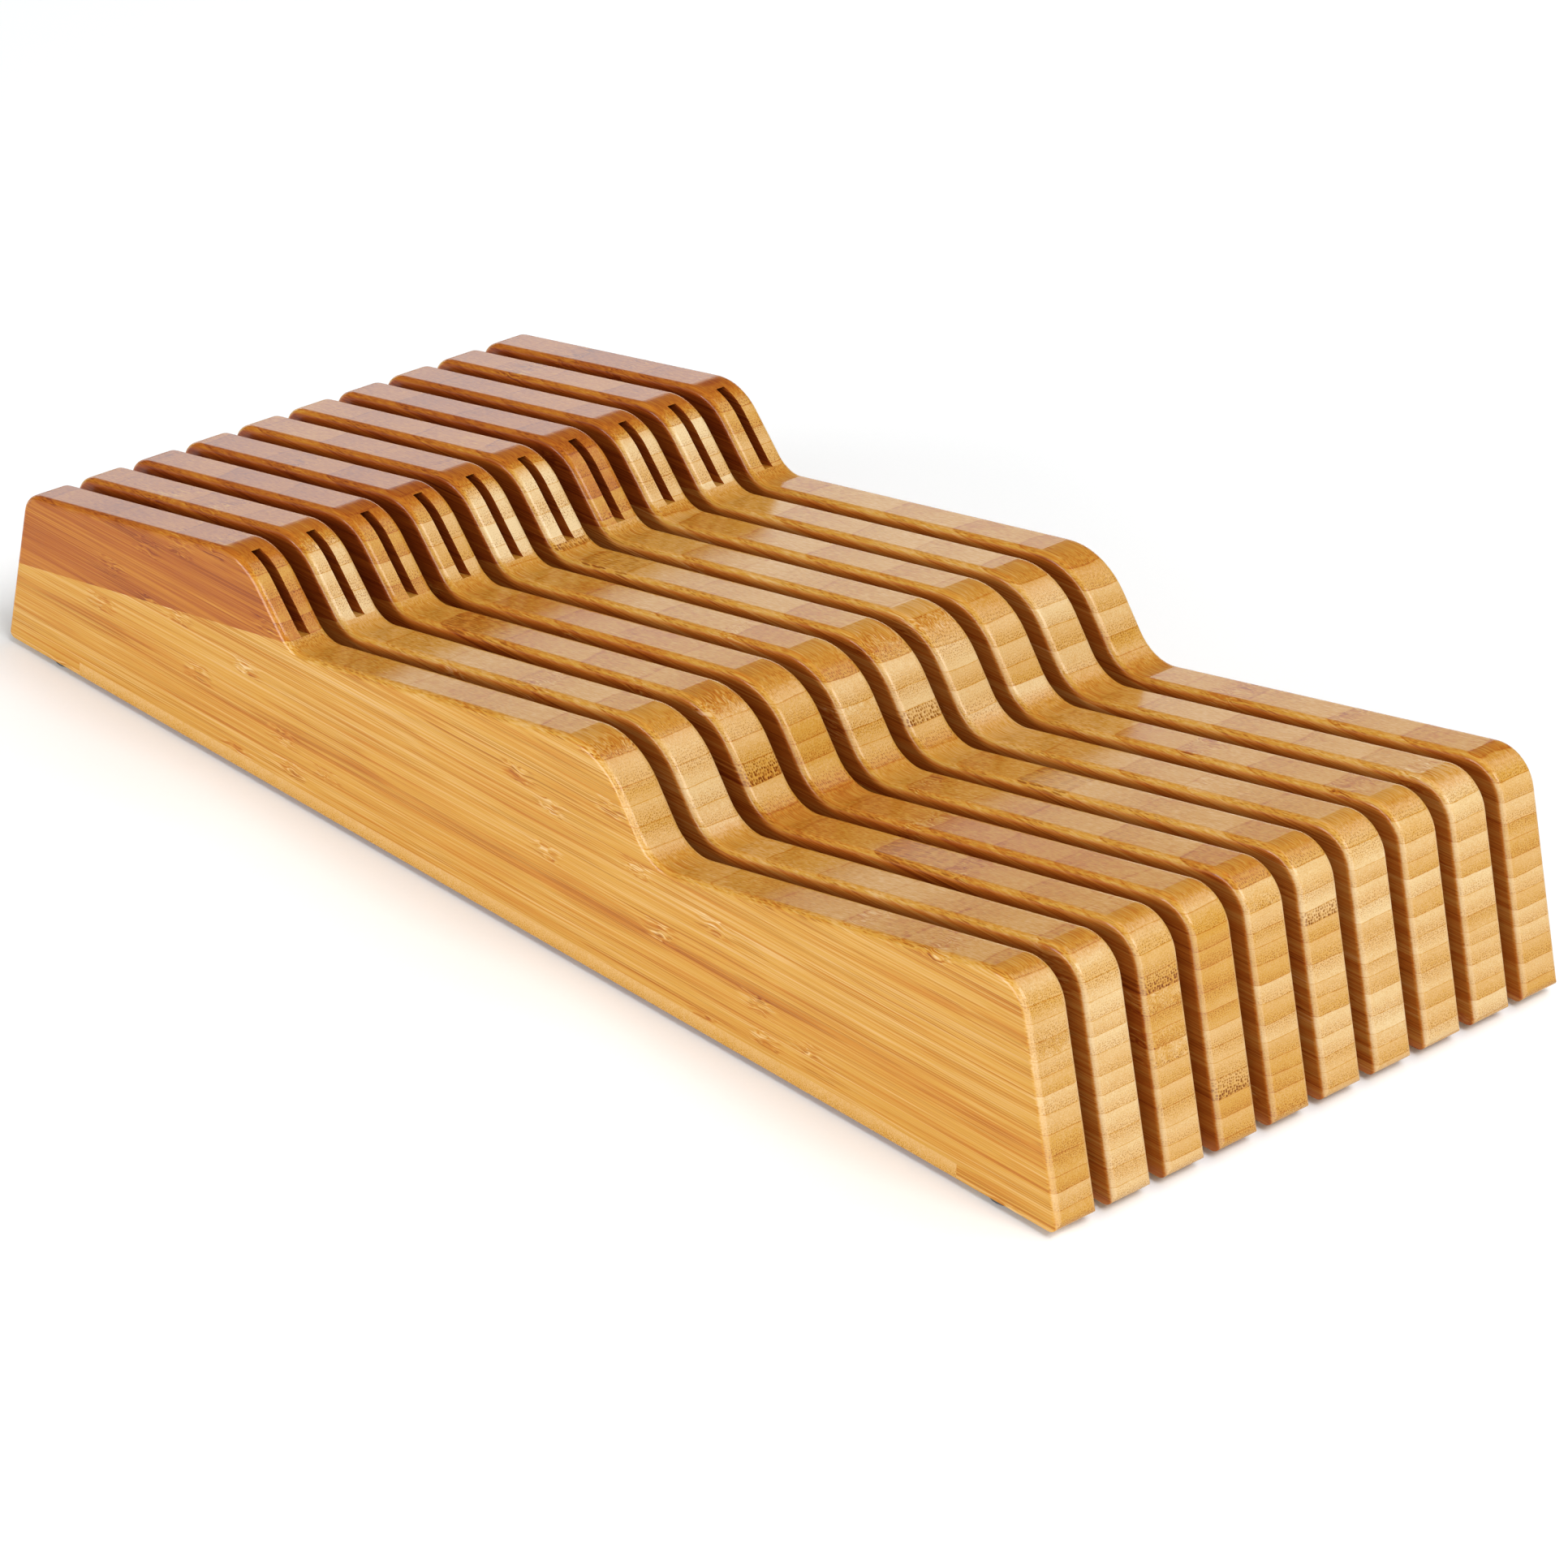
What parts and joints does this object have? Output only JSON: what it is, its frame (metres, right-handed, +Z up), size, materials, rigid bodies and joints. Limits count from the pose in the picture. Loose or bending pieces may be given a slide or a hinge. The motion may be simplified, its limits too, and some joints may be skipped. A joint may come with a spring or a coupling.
{
  "type": "in-drawer knife block",
  "caption": "Low bamboo knife block for a drawer: upright slats with a wavy top, open gaps for large blades, sawn slots for small ones and rubber feet.",
  "frame": {"origin": "on the surface the feet stand on, below the middle of the block", "axes": "+X across the slats, +Y along them from the handle end to the rear end, +Z up"},
  "size_m": [0.18, 0.4223, 0.0661],
  "materials": {
    "bamboo_slat": "laminated bamboo, satin lacquer",
    "bamboo_slot_block": "laminated bamboo, satin lacquer, each block its own shade",
    "bamboo_panel": "cross-grain bamboo panel, satin lacquer",
    "foot_rubber": "matte black rubber"
  },
  "bodies": {
    "root": {"slat_01": "bamboo_slat", "slat_02": "bamboo_slat", "slat_03": "bamboo_slat", "slat_04": "bamboo_slat", "slat_05": "bamboo_slat", "slat_06": "bamboo_slat", "slat_07": "bamboo_slat", "slat_08": "bamboo_slat", "slat_09": "bamboo_slat", "slat_10": "bamboo_slat", "slot_block_01": "bamboo_slot_block", "slot_block_02": "bamboo_slot_block", "slot_block_03": "bamboo_slot_block", "slot_block_04": "bamboo_slot_block", "slot_block_05": "bamboo_slot_block", "slot_block_06": "bamboo_slot_block", "slot_block_07": "bamboo_slot_block", "slot_block_08": "bamboo_slot_block", "slot_block_09": "bamboo_slot_block", "slot_block_10": "bamboo_slot_block", "base_panel": "bamboo_panel", "foot_front_left": "foot_rubber", "foot_rear_left": "foot_rubber", "foot_front_right": "foot_rubber", "foot_rear_right": "foot_rubber"}
  },
  "joints": []
}
